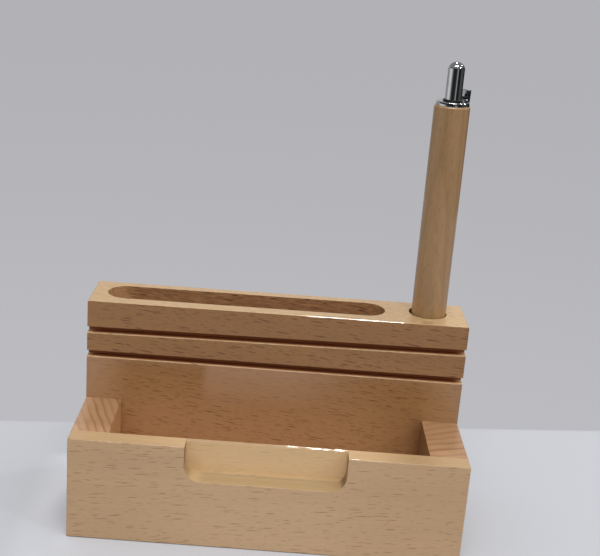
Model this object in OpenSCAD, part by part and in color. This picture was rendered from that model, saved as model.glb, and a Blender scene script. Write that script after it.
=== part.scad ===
// Wooden desk stand: a card tray in front, a rear block with a long slot and two saw kerfs,
// and a push-button ball pen standing in a hole at its right end.
// Millimetres. The stand rests on z = 0, the origin is under the middle of its footprint,
// +X is to the right and +Y to the back as one faces the tray.

/* [Stand] */
// Width of the stand
stand_w = 120; // [114:1:140]
// Thickness of the front panel
panel_t = 6; // [5.5:0.5:9]
// Front to back size of the card tray
tray_d = 24; // [16:1:40]
// Thickness of the rear block
block_d = 20; // [19:0.5:26]
// Height of the rear block
block_h = 66; // [62:1:80]
// Height of the front panel and the side blocks
side_h = 33; // [26:1:40]
// Width of each side block
side_w = 11.5; // [6:0.5:12]
// Thickness of the tray floor between the side blocks
floor_t = 5; // [3:0.5:8]
// Radius of the sanded outer edges
edge_r = 0.4; // [0.3:0.1:1]

/* [Rear block] */
// Length of the top slot, end to end
slot_l = 89.5; // [60:0.5:90]
// Width of the top slot
slot_w = 12; // [8:0.5:12]
// Depth of the top slot
slot_depth = 30; // [15:1:40]
// From the block's left end to the slot
slot_inset = 4.8; // [4:0.1:8]
// From the block's front face to the middle of the slot
slot_setback = 10.6; // [10:0.1:11]
// Diameter of the pen hole
pen_hole_d = 12; // [11.8:0.1:12.4]
// Depth of the pen hole
pen_hole_depth = 58; // [50:1:58]
// From the block's right end to the middle of the pen hole
pen_hole_inset = 11.8; // [10:0.1:13]
// From the block's front face to the middle of the pen hole
pen_hole_setback = 11.3; // [10:0.1:12]
// Diameter of the lead hole drilled under the pen hole
lead_hole_d = 3.6; // [3.4:0.1:3.8]
// Depth of the lead hole under the floor of the pen hole
lead_hole_depth = 5; // [4.5:0.1:6]
// Height of each saw kerf
kerf_h = 2.1; // [1.5:0.1:3]
// Depth of each saw kerf
kerf_depth = 3.2; // [2:0.1:3.4]
// From the top of the block down to each kerf, upper then lower
kerf_drops = [8.1, 16.9]; // [4:0.1:30]
// How far each hand-sawn kerf climbs from the left end to the right end
kerf_rises = [1, -0.5]; // [-2:0.1:2]

/* [Finger recess] */
// Width of the finger recess
recess_w = 48.8; // [30:0.1:60]
// Depth of the finger recess down from the top edge
recess_drop = 11.2; // [8:0.1:16]
// How far the recess is cut into the panel
recess_depth = 5; // [3:0.1:5]
// Radius of the lower corners of the recess
recess_r = 5; // [3:0.5:8]
// Radius of the cove along the foot of its back wall
recess_cove_r = 1.4; // [0.5:0.1:2]
// Offset of the recess from the middle of the panel
recess_shift = -0.6; // [-2:0.1:2]

/* [Pen] */
// Diameter of the wooden barrel
pen_d = 11; // [10.6:0.1:11.2]
// Length of the wooden barrel
barrel_l = 105.5; // [100:0.5:115]
// How far the pen leans on the right wall of its hole from the middle
pen_shift = 0.25; // [0:0.05:0.25]
// Length of the nose cone below the barrel
nose_l = 20; // [16:1:24]
// Diameter of the flat end of the nose cone
nose_tip_d = 4.4; // [4.4:0.1:5]
// Diameter of the top ring
ring_d = 10.5; // [10:0.1:10.6]
// Height of the top ring above the barrel
ring_h = 1.2; // [1.1:0.1:2]
// Diameter of the push button
button_d = 5.2; // [5:0.1:5.2]
// Height of the push button above the top ring
button_out = 11.9; // [10:0.1:14]
// Height of the rounded end of the push button
button_dome_h = 1.9; // [1.5:0.1:2.4]
// Diameter of the dark collar that guides the push button
collar_d = 6; // [6:0.1:6.4]
// Height of that collar above the top ring
collar_out = 0.5; // [0.4:0.1:1.2]
// Travel of the push button
button_travel = 6; // [5:0.1:6]
// How far the ball lies inside the nose cone at rest
point_inset = 2.5; // [2:0.1:3]

/* [Clip] */
// Width of the clip at its bend
clip_w = 5; // [3:0.1:5]
// Width of the clip at its end
clip_end_w = 3; // [2:0.1:3]
// Thickness of the clip's strip
clip_t = 0.6; // [0.5:0.05:0.8]
// Height of the clip's bend above the top ring
clip_rise = 3.8; // [2:0.1:4]
// Length of the clip from its bend to its end
clip_l = 39; // [30:1:45]
// Direction of the clip about the pen, from +X towards +Y
clip_angle = 57; // [0:1:359]

/* [Hidden] */
$fn = 64;
// A cut starts this far outside the face that it opens
over = 1;
beech = [0.80, 0.64, 0.45];
beech_pen = [0.74, 0.60, 0.40];
chrome = [0.80, 0.81, 0.83];
brass = [0.78, 0.62, 0.30];
white_plastic = [0.90, 0.90, 0.87];
black_plastic = [0.12, 0.12, 0.13];
ink_blue = [0.12, 0.16, 0.42];
spring_steel = [0.66, 0.67, 0.69];

// Front to back, from the front face of the panel
stand_d = panel_t + tray_d + block_d;
front_y = -stand_d / 2;
tray_front_y = front_y + panel_t;
block_y = tray_front_y + tray_d;
tray_w = stand_w - 2 * side_w;

// The pen's axis and the heights along it
hole_x = stand_w / 2 - pen_hole_inset;
hole_y = block_y + pen_hole_setback;
nose_z = block_h - pen_hole_depth;
barrel_z = nose_z + nose_l;
barrel_top_z = barrel_z + barrel_l;
ring_top_z = barrel_top_z + ring_h;
button_top_z = ring_top_z + button_out;
pen_r = pen_d / 2;
barrel_chamfer = [0.35, 0.5];

// Nose cone: a tangent ogive with a threaded spigot, a bore for the point and a chamber for the spring
nose_step = 0.2;
nose_r = pen_r - nose_step;
nose_tip_r = nose_tip_d / 2;
ogive_r = (pow(nose_r - nose_tip_r, 2) + pow(nose_l, 2)) / (2 * (nose_r - nose_tip_r));
ogive_fn = 480;
spigot_r = 3.4;
spigot_l = 9;
tip_bore_r = 1.3;
tip_bore_l = 5;
chamber_r = 2.45;
spring_seat_z = nose_z + tip_bore_l;

// Pieces pressed or screwed together sit this far apart, sliding pieces a little further
seat_gap = 0.02;
slide_gap = 0.15;
insert_r = 4.2;
insert_l = 10;
barrel_bore_r = 3.3;

// Click mechanism in the upper end of the barrel
sleeve_r = 4.1;
sleeve_bore_r = 3;
sleeve_l = 34;
sleeve_z = barrel_top_z - sleeve_l;
button_r = button_d / 2;
neck_bore_r = button_r + slide_gap;
neck_l = 7.5;
neck_z = barrel_top_z - neck_l;
collar_r = collar_d / 2;
collar_edge = 0.12;
collar_top_z = ring_top_z + collar_out;
ring_edge = 0.2;
ring_lip_r = 3.5;
ring_seat_r = 4.45;
ring_seat_h = 0.6;
spline_count = 6;
spline_w = 1.1;
spline_r = 2.8;
cam_r = 2.4;
rib_r = cam_r + slide_gap;
rib_root = 0.2;
rib_drop = 15;
rib_clear = 0.4;
rib_z = neck_z - rib_drop;
rib_top_z = neck_z - button_travel - rib_clear;
plunger_head_l = 10;
plunger_z = neck_z - plunger_head_l;
plunger_stem_r = 1.9;
plunger_stem_l = 15;
skirt_clear = 0.2;
button_skirt_z = neck_z + skirt_clear;
button_wall = 0.7;
dome_fn = 128;
tooth_h = 1.2;
tooth_w = 1.9;
rotor_l = 11.5;
rotor_z = plunger_z - rotor_l;
rotor_spline_l = 6;
rotor_pin_r = 1.2;
rotor_pin_l = 5;

// Refill: a tube with two crimped ears, a brass point and a ball
refill_r = 1.6;
refill_bore_r = 1;
refill_grip = 4.5;
refill_top_z = rotor_z + refill_grip;
ear_r = 2.1;
ear_h = 0.8;
spring_l = 17;
refill_z = spring_seat_z + spring_l;
shank_r = 1.15;
ball_r = 0.4;
ball_out = 0.25;
point_z = nose_z + point_inset;
point_r = 0.55;
point_cone_l = 2.6;
plug_l = 4;

// Clip: its upright stands clear of the ring and the bead at its end rests just off the barrel
clip_clear = 0.3;
clip_bend_gap = 0.5;
clip_draw_in = 0.5;
clip_bead_r = 0.65;
clip_bead_gap = 0.1;
clip_top_z = ring_top_z + clip_rise;

// Return spring: an open helix round the refill's shank
wire_r = 0.2;
spring_r = 1.75;
spring_turns = 8;
rings_per_turn = 8;
wire_sides = 6;

// A rectangle with round corners, lower left corner at the origin
module rounded_square(size, r) {
    translate([r, 0]) square([size.x - 2 * r, size.y]);
    translate([0, r]) square([size.x, size.y - 2 * r]);
    for (x = [r, size.x - r], y = [r, size.y - r])
        translate([x, y]) circle(r);
}

// A slot's outline with half-round ends, its box from the origin
module stadium(l, w) {
    translate([w / 2, 0]) square([l - w, w]);
    for (x = [w / 2, l - w / 2])
        translate([x, w / 2]) circle(w / 2);
}

// A block whose edges are sanded round on all sides
module sanded_block(size, r) {
    intersection() {
        linear_extrude(size.z)
            rounded_square([size.x, size.y], r);
        translate([0, size.y, 0])
            rotate([90, 0, 0])
                linear_extrude(size.y)
                    rounded_square([size.x, size.z], r);
        rotate([90, 0, 90])
            linear_extrude(size.x)
                rounded_square([size.y, size.z], r);
    }
}

// The glued-up tray before its pieces are told apart, sanded as one block
module tray_body() {
    translate([-stand_w / 2, front_y, 0])
        sanded_block([stand_w, stand_d, side_h], edge_r);
}

// Waste that rounds the square edge along the x axis of a top face, on the side of +y
module edge_round(l, r) {
    difference() {
        translate([-l / 2, -r, -r]) cube([l, r + over, r + over]);
        translate([-l / 2 - over, -r, -r])
            rotate([0, 90, 0])
                cylinder(r = r, h = l + 2 * over);
    }
}

// The outline of the recess seen from the front, foot of the recess on y = 0
module recess_outline() {
    half = recess_w / 2;
    translate([-half, recess_r]) square([recess_w, recess_drop]);
    translate([recess_r - half, 0]) square([recess_w - 2 * recess_r, recess_drop]);
    for (side = [-1, 1])
        translate([side * (half - recess_r), recess_r]) circle(recess_r);
}

// The section of the recess seen from the side, with a cove at the foot of its back wall
module recess_section() {
    translate([-over, 0])
        square([recess_depth - recess_cove_r + over, recess_drop + over]);
    translate([-over, recess_cove_r])
        square([recess_depth + over, recess_drop + over]);
    translate([recess_depth - recess_cove_r, recess_cove_r]) circle(recess_cove_r);
}

// One saw kerf across the front face, climbing by rise from left to right
module kerf(drop, rise) {
    translate([0, block_y - over, block_h - drop - kerf_h / 2])
        rotate([0, -atan(rise / stand_w), 0])
            translate([-stand_w / 2 - over, 0, -kerf_h / 2])
                cube([stand_w + 2 * over, kerf_depth + over, kerf_h]);
}

// Moves its children onto the pen's axis
module on_pen() {
    translate([hole_x + pen_shift, hole_y, 0]) children();
}

// A turned piece from points of radius and height
module turned(points) {
    rotate_extrude() polygon(points);
}

// Splines or ribs about the axis, from radius inner to outer
module splines(inner, outer, z, l, turn) {
    for (i = [0 : spline_count - 1])
        rotate([0, 0, turn + i * 360 / spline_count])
            translate([inner, -spline_w / 2, z])
                cube([outer - inner, spline_w, l]);
}

// Saw teeth with radial ridges, rising from height z
module saw_teeth(z, w, h) {
    for (i = [0 : spline_count - 1])
        rotate([0, 0, i * 360 / spline_count])
            translate([0, 0, z])
                rotate([90, 0, 90])
                    linear_extrude(spline_r)
                        polygon([[-w / 2, -over], [w / 2, -over], [w / 2, 0], [-w / 2, h], [-w / 2, 0]]);
}

module rear_block() {
    color(beech)
        difference() {
            translate([-stand_w / 2, block_y, 0])
                sanded_block([stand_w, block_d, block_h], edge_r);
            translate([-stand_w / 2 + slot_inset, block_y + slot_setback - slot_w / 2, block_h - slot_depth])
                linear_extrude(slot_depth + over)
                    stadium(slot_l, slot_w);
            translate([hole_x, hole_y, nose_z])
                cylinder(d = pen_hole_d, h = pen_hole_depth + over);
            translate([hole_x, hole_y, nose_z - lead_hole_depth])
                cylinder(d = lead_hole_d, h = lead_hole_depth + over);
            for (i = [0 : len(kerf_drops) - 1])
                kerf(kerf_drops[i], kerf_rises[i]);
        }
}

// A side block: side is -1 for the left one and 1 for the right one
module side_block(side) {
    color(beech)
        intersection() {
            translate([side * (stand_w - side_w) / 2 - side_w / 2, tray_front_y, 0])
                cube([side_w, tray_d, side_h]);
            tray_body();
        }
}

module left_side_block() { side_block(-1); }

module right_side_block() { side_block(1); }

module front_panel() {
    color(beech)
        difference() {
            intersection() {
                translate([-stand_w / 2, front_y, 0]) cube([stand_w, panel_t, side_h]);
                tray_body();
            }
            translate([recess_shift, front_y, side_h - recess_drop])
                intersection() {
                    translate([0, recess_depth + over, 0])
                        rotate([90, 0, 0])
                            linear_extrude(recess_depth + 2 * over) recess_outline();
                    translate([-recess_w, 0, 0])
                        rotate([90, 0, 90])
                            linear_extrude(2 * recess_w) recess_section();
                }
            translate([0, tray_front_y, side_h]) edge_round(tray_w, edge_r);
        }
}

module tray_floor() {
    color(beech)
        translate([-tray_w / 2, tray_front_y, 0]) cube([tray_w, tray_d, floor_t]);
}

module pen_barrel() {
    top = barrel_top_z;
    color(beech_pen)
        on_pen()
            turned([
                [insert_r + seat_gap, barrel_z], [pen_r - barrel_chamfer.x, barrel_z],
                [pen_r, barrel_z + barrel_chamfer.y], [pen_r, top - barrel_chamfer.y],
                [pen_r - barrel_chamfer.x, top], [sleeve_r + seat_gap, top],
                [sleeve_r + seat_gap, sleeve_z], [barrel_bore_r, sleeve_z],
                [barrel_bore_r, barrel_z + insert_l], [insert_r + seat_gap, barrel_z + insert_l]
            ]);
}

module nose_cone() {
    color(chrome)
        on_pen()
            difference() {
                union() {
                    translate([0, 0, nose_z])
                        rotate_extrude()
                            intersection() {
                                square([nose_r, nose_l]);
                                translate([nose_r - ogive_r, nose_l]) circle(ogive_r, $fn = ogive_fn);
                            }
                    translate([0, 0, barrel_z - over]) cylinder(r = spigot_r, h = spigot_l + over);
                }
                translate([0, 0, nose_z - over]) cylinder(r = tip_bore_r, h = nose_l);
                translate([0, 0, spring_seat_z]) cylinder(r = chamber_r, h = nose_l + spigot_l);
            }
}

module nose_insert() {
    color(brass)
        on_pen()
            translate([0, 0, barrel_z])
                difference() {
                    cylinder(r = insert_r, h = insert_l);
                    translate([0, 0, -over]) cylinder(r = spigot_r + seat_gap, h = insert_l + 2 * over);
                }
}

module guide_sleeve() {
    color(black_plastic)
        on_pen() {
            turned([
                [sleeve_bore_r, sleeve_z], [sleeve_r, sleeve_z], [sleeve_r, barrel_top_z],
                [collar_r, barrel_top_z], [collar_r, collar_top_z - collar_edge],
                [collar_r - collar_edge, collar_top_z], [neck_bore_r, collar_top_z],
                [neck_bore_r, neck_z], [sleeve_bore_r, neck_z]
            ]);
            splines(rib_r, sleeve_bore_r + rib_root, rib_z, rib_top_z - rib_z, 180 / spline_count);
        }
}

module top_ring() {
    color(chrome)
        on_pen()
            difference() {
                turned([
                    [collar_r + seat_gap, barrel_top_z], [ring_lip_r, barrel_top_z],
                    [ring_lip_r, barrel_top_z + ring_seat_h], [ring_seat_r, barrel_top_z + ring_seat_h],
                    [ring_seat_r, barrel_top_z], [ring_d / 2, barrel_top_z],
                    [ring_d / 2, ring_top_z - ring_edge], [ring_d / 2 - ring_edge, ring_top_z],
                    [collar_r + seat_gap, ring_top_z]
                ]);
                rotate([0, 0, clip_angle])
                    translate([ring_lip_r + seat_gap, -clip_w / 2 - seat_gap, barrel_top_z - over])
                        cube([ring_d, clip_w + 2 * seat_gap, ring_seat_h + over]);
            }
}

// The clip's strip seen from the side: radius from the pen's axis along x, height along y
module clip_strip() {
    eye_r = (ring_lip_r + ring_seat_r) / 2;
    upright_r = ring_d / 2 + clip_clear;
    bend_r = clip_t + clip_bend_gap / 2;
    arm_r = upright_r + 2 * bend_r - clip_t;
    bend_y = clip_top_z - bend_r;
    end_y = clip_top_z - clip_l;
    translate([eye_r, barrel_top_z]) square([upright_r + clip_t - eye_r, clip_t]);
    translate([upright_r, barrel_top_z]) square([clip_t, bend_y - barrel_top_z]);
    translate([upright_r + bend_r, bend_y])
        intersection() {
            difference() {
                circle(bend_r);
                circle(bend_r - clip_t);
            }
            translate([-bend_r, 0]) square([2 * bend_r, bend_r]);
        }
    polygon([
        [arm_r, bend_y], [arm_r + clip_t, bend_y],
        [arm_r + clip_t - clip_draw_in, end_y], [arm_r - clip_draw_in, end_y]
    ]);
    translate([pen_r + clip_bead_gap + clip_bead_r, end_y]) circle(clip_bead_r);
}

// The clip seen from the front, narrowing from its bend to its end
module clip_outline() {
    foot_z = clip_top_z - clip_l - clip_bead_r;
    polygon([
        [-clip_end_w / 2, foot_z], [clip_end_w / 2, foot_z],
        [clip_w / 2, clip_top_z], [-clip_w / 2, clip_top_z]
    ]);
}

module spring_clip() {
    color(chrome)
        on_pen() {
            translate([0, 0, barrel_top_z])
                difference() {
                    cylinder(r = ring_seat_r - seat_gap, h = clip_t);
                    translate([0, 0, -over]) cylinder(r = ring_lip_r + seat_gap, h = clip_t + 2 * over);
                }
            rotate([0, 0, clip_angle])
                intersection() {
                    translate([0, clip_w / 2 + over, 0])
                        rotate([90, 0, 0])
                            linear_extrude(clip_w + 2 * over) clip_strip();
                    rotate([90, 0, 90])
                        linear_extrude(2 * pen_d) clip_outline();
                }
        }
}

module push_button() {
    shoulder_z = button_top_z - button_dome_h;
    dome_r = (pow(button_r, 2) + pow(button_dome_h, 2)) / (2 * button_dome_h);
    color(chrome)
        on_pen()
            difference() {
                rotate_extrude()
                    union() {
                        translate([0, button_skirt_z]) square([button_r, shoulder_z - button_skirt_z]);
                        intersection() {
                            translate([0, shoulder_z - over]) square([button_r, button_dome_h + over]);
                            translate([0, button_top_z - dome_r]) circle(dome_r, $fn = dome_fn);
                        }
                    }
                translate([0, 0, button_skirt_z - over])
                    cylinder(r = plunger_stem_r + seat_gap, h = shoulder_z - button_wall - button_skirt_z + over);
            }
}

module plunger_cam() {
    color(white_plastic)
        on_pen()
            difference() {
                union() {
                    translate([0, 0, plunger_z]) cylinder(r = cam_r, h = plunger_head_l);
                    splines(0, spline_r, plunger_z + tooth_h, plunger_head_l - tooth_h, 0);
                    translate([0, 0, plunger_z]) cylinder(r = plunger_stem_r, h = plunger_head_l + plunger_stem_l);
                }
                saw_teeth(plunger_z, tooth_w, tooth_h);
                translate([0, 0, plunger_z - over])
                    cylinder(r = rotor_pin_r + slide_gap, h = rotor_pin_l + 2 * over);
            }
}

module rotor_cam() {
    tooth_gap = 0.1;
    color(white_plastic)
        on_pen()
            difference() {
                union() {
                    translate([0, 0, rotor_z]) cylinder(r = cam_r, h = rotor_l - tooth_gap);
                    splines(0, spline_r, plunger_z - rotor_spline_l, rotor_spline_l - tooth_gap, 0);
                    intersection() {
                        translate([0, 0, plunger_z - over]) cylinder(r = cam_r, h = tooth_h + 2 * over);
                        saw_teeth(plunger_z - tooth_gap, tooth_w - 2 * tooth_gap, tooth_h - tooth_gap);
                    }
                    translate([0, 0, plunger_z - over]) cylinder(r = rotor_pin_r, h = rotor_pin_l + over);
                }
                translate([0, 0, rotor_z - over]) cylinder(r = refill_r + seat_gap, h = refill_grip + over);
            }
}

module refill_tube() {
    color(ink_blue)
        on_pen()
            turned([
                [refill_bore_r, refill_z], [ear_r, refill_z], [ear_r, refill_z + ear_h],
                [refill_r, refill_z + 2 * ear_h], [refill_r, refill_top_z], [refill_bore_r, refill_top_z]
            ]);
}

module refill_tip() {
    end_z = point_z + ball_out;
    color(brass)
        on_pen()
            difference() {
                turned([
                    [0, end_z], [point_r, end_z], [shank_r, end_z + point_cone_l], [shank_r, refill_z],
                    [refill_bore_r - seat_gap, refill_z], [refill_bore_r - seat_gap, refill_z + plug_l],
                    [0, refill_z + plug_l]
                ]);
                translate([0, 0, end_z - over])
                    cylinder(r = ball_r + seat_gap, h = 2 * ball_r - ball_out + seat_gap + over);
            }
}

module tip_ball() {
    color(spring_steel)
        on_pen()
            translate([0, 0, point_z + ball_r]) sphere(ball_r);
}

// Centre of the wire at ring i, and the point at side k of the wire there
spring_rings = spring_turns * rings_per_turn;
spring_low_z = spring_seat_z + wire_r;
spring_rise = refill_z - spring_seat_z - 2 * wire_r;
function spring_turn(i) = i * 360 / rings_per_turn;
function spring_centre(i) =
    [spring_r * cos(spring_turn(i)), spring_r * sin(spring_turn(i)), spring_low_z + spring_rise * i / spring_rings];
function wire_point(i, k) =
    let (a = spring_turn(i), b = k * 360 / wire_sides, c = spring_centre(i), r = wire_r * cos(b))
    [c.x + r * cos(a), c.y + r * sin(a), c.z + wire_r * sin(b)];
// Least gap between one turn and the next, measured from ring to ring
spring_gap = min([
    for (i = [0 : spring_rings - rings_per_turn])
        norm(spring_centre(i + rings_per_turn) - spring_centre(i)) - 2 * wire_r
]);
echo("return spring, least gap between turns in mm", spring_gap);

module return_spring() {
    points = [for (i = [0 : spring_rings], k = [0 : wire_sides - 1]) wire_point(i, k)];
    walls = [
        for (i = [0 : spring_rings - 1], k = [0 : wire_sides - 1])
            let (a = i * wire_sides + k, b = i * wire_sides + (k + 1) % wire_sides)
            each [[a, a + wire_sides, b], [b, a + wire_sides, b + wire_sides]]
    ];
    start = [for (k = [1 : wire_sides - 2]) [0, k, k + 1]];
    last = spring_rings * wire_sides;
    end = [for (k = [1 : wire_sides - 2]) [last, last + k + 1, last + k]];
    color(spring_steel)
        on_pen()
            polyhedron(points, concat(walls, start, end));
}

rear_block();
left_side_block();
right_side_block();
front_panel();
tray_floor();
pen_barrel();
nose_cone();
nose_insert();
guide_sleeve();
top_ring();
spring_clip();
push_button();
plunger_cam();
rotor_cam();
refill_tube();
refill_tip();
tip_ball();
return_spring();
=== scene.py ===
"""Looks of a wooden pen stand: a card tray, a slotted rear block and a push-button pen.

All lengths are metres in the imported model's frame: the stand rests on z = 0, +X is to the right and +Y to
the back as one faces the tray.
"""

import logging
import math
from collections.abc import Callable, Sequence
from dataclasses import dataclass
from enum import Enum

import bmesh
import bpy
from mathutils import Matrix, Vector


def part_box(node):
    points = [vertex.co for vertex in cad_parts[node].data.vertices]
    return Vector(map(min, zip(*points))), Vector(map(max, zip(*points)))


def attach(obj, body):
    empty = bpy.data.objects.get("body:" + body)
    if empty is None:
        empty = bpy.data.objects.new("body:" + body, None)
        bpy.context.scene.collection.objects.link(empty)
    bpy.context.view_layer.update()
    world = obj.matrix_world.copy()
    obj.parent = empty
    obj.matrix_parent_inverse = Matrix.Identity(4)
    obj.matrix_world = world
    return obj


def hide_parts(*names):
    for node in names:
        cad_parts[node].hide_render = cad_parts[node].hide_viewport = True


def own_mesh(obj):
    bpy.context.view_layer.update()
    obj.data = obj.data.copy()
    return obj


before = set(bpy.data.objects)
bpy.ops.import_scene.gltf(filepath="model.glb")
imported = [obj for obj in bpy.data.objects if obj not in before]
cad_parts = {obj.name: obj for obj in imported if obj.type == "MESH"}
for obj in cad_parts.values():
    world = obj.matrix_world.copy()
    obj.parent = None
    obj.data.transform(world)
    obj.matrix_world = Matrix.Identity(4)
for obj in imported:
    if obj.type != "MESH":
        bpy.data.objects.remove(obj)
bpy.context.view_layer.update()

LOG = logging.getLogger("pen_stand")
MM = 0.001
# How far a cutter reaches past the faces that it opens
OVERCUT = 2 * MM
# Points nearer to a plane than this lie on it
TOUCH = 0.001 * MM
Point = tuple[float, float]
Triple = tuple[float, float, float]
Colour = Triple
Piece = bpy.types.Object
Edge = bmesh.types.BMEdge
Material = bpy.types.Material
Node = bpy.types.Node
Socket = bpy.types.NodeSocket
Sockets = bpy.types.bpy_prop_collection
Value = float | Sequence[float] | Socket


def srgb(red: int, green: int, blue: int) -> Colour:
    """Turns a screen colour into linear light.

    Args:
        red: Red from 0 to 255.
        green: Green from 0 to 255.
        blue: Blue from 0 to 255.

    Returns:
        The three linear values from 0 to 1.
    """
    def channel(c: float) -> float:
        """Linear light of one channel."""
        return c / 12.92 if c <= 0.04045 else ((c + 0.055) / 1.055) ** 2.4

    return channel(red / 255), channel(green / 255), channel(blue / 255)


class Graph:
    """Builds one node tree with short calls.

    Args:
        tree: The node tree that receives the nodes.
    """

    def __init__(self, tree: bpy.types.NodeTree) -> None:
        self.tree = tree

    @classmethod
    def group(cls, name: str, inputs: dict[str, str], outputs: Sequence[str]) -> "Graph":
        """Starts a shader node group.

        Args:
            name: Name of the group.
            inputs: Socket kind for each input, such as Float or Vector.
            outputs: Names of the outputs, all of them values.

        Returns:
            A graph on the new group.
        """
        tree = bpy.data.node_groups.new(name, "ShaderNodeTree")
        for label, kind in inputs.items():
            tree.interface.new_socket(label, in_out="INPUT", socket_type=f"NodeSocket{kind}")
        for label in outputs:
            tree.interface.new_socket(label, in_out="OUTPUT", socket_type="NodeSocketFloat")
        graph = cls(tree)
        graph.source = graph.node("NodeGroupInput").outputs
        graph.sink = graph.node("NodeGroupOutput").inputs
        return graph

    def node(self, kind: str, **settings: object) -> Node:
        """Adds a node and sets its properties."""
        made = self.tree.nodes.new(kind)
        for key, value in settings.items():
            setattr(made, key, value)
        return made

    def put(self, value: Value, socket: Socket) -> None:
        """Links a socket, or writes a plain value, into an input."""
        if isinstance(value, Socket):
            self.tree.links.new(value, socket)
        elif isinstance(socket.default_value, float):
            socket.default_value = value
        else:
            size = len(socket.default_value)
            socket.default_value = (*value, 1.0)[:size]

    def feed(self, kind: str, values: Sequence[Value], **settings: object) -> Sockets:
        """Adds a node, fills its inputs in order and returns its outputs."""
        made = self.node(kind, **settings)
        for value, socket in zip(values, made.inputs):
            self.put(value, socket)
        return made.outputs

    def math(self, operation: str, *values: Value) -> Socket:
        """Adds a Math node and returns its result."""
        return self.feed("ShaderNodeMath", values, operation=operation)[0]

    def vector(self, operation: str, *values: Value) -> Socket:
        """Adds a Vector Math node and returns its result, a value for lengths."""
        return self.feed("ShaderNodeVectorMath", values, operation=operation)[int(operation == "LENGTH")]

    def split(self, vector: Socket) -> Sockets:
        """Returns the three parts of a vector."""
        return self.feed("ShaderNodeSeparateXYZ", (vector,))

    def join(self, x: Value, y: Value, z: Value) -> Socket:
        """Returns a vector made of three values."""
        return self.feed("ShaderNodeCombineXYZ", (x, y, z))[0]

    def ease(self, value: Value, start: float, end: float, low: float = 0.0, high: float = 1.0) -> Socket:
        """Maps a value smoothly from start..end to low..high and holds it outside."""
        values = (value, start, end, low, high)
        return self.feed("ShaderNodeMapRange", values, interpolation_type="SMOOTHSTEP")[0]

    def noise(self, vector: Socket, scale: float = 1.0, detail: float = 2.0, rough: float = 0.5) -> Socket:
        """Adds a Noise Texture and returns its value."""
        made = self.node("ShaderNodeTexNoise")
        self.put(vector, made.inputs["Vector"])
        self.put(scale, made.inputs["Scale"])
        self.put(detail, made.inputs["Detail"])
        self.put(rough, made.inputs["Roughness"])
        return made.outputs[0]

    def mix(self, share: Value, first: Value, second: Value, blend: str = "MIX") -> Socket:
        """Mixes two colours and returns the result."""
        made = self.node("ShaderNodeMix", data_type="RGBA", blend_type=blend)
        self.put(share, made.inputs[0])
        self.put(first, made.inputs[6])
        self.put(second, made.inputs[7])
        return made.outputs[2]


def fleck_layer(graph: Graph, place: Socket, spacing: Triple, half: Triple, share: Value) -> Socket:
    """Scatters lens-shaped ray flecks through the wood.

    Args:
        graph: The graph that receives the nodes.
        place: Place in the wood in millimetres: along the grain, across it, and towards the bark.
        spacing: Distance between flecks in the three directions.
        half: Half the size of a fleck in the three directions.
        share: Share of the places that hold a fleck.

    Returns:
        A mask that is 1 in the middle of a fleck.
    """
    cells = graph.vector("DIVIDE", place, spacing)
    voronoi = graph.node("ShaderNodeTexVoronoi", voronoi_dimensions="3D", feature="F1")
    graph.put(cells, voronoi.inputs["Vector"])
    graph.put(1.0, voronoi.inputs["Scale"])
    length, chance, depth = graph.split(voronoi.outputs["Color"])
    away = graph.vector("SUBTRACT", cells, voronoi.outputs["Position"])
    shape = graph.vector("MULTIPLY", away, [s / h for s, h in zip(spacing, half)])
    along, across, deep = graph.split(shape)
    along = graph.math("DIVIDE", along, graph.math("ADD", length, 0.45))
    distance = graph.vector("LENGTH", graph.join(along, across, deep))
    mask = graph.ease(distance, 0.62, 1.0, 1.0, 0.0)
    present = graph.math("LESS_THAN", chance, share)
    strength = graph.math("MULTIPLY_ADD", depth, 0.55, 0.45)
    return graph.math("MULTIPLY", mask, graph.math("MULTIPLY", present, strength))


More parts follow.
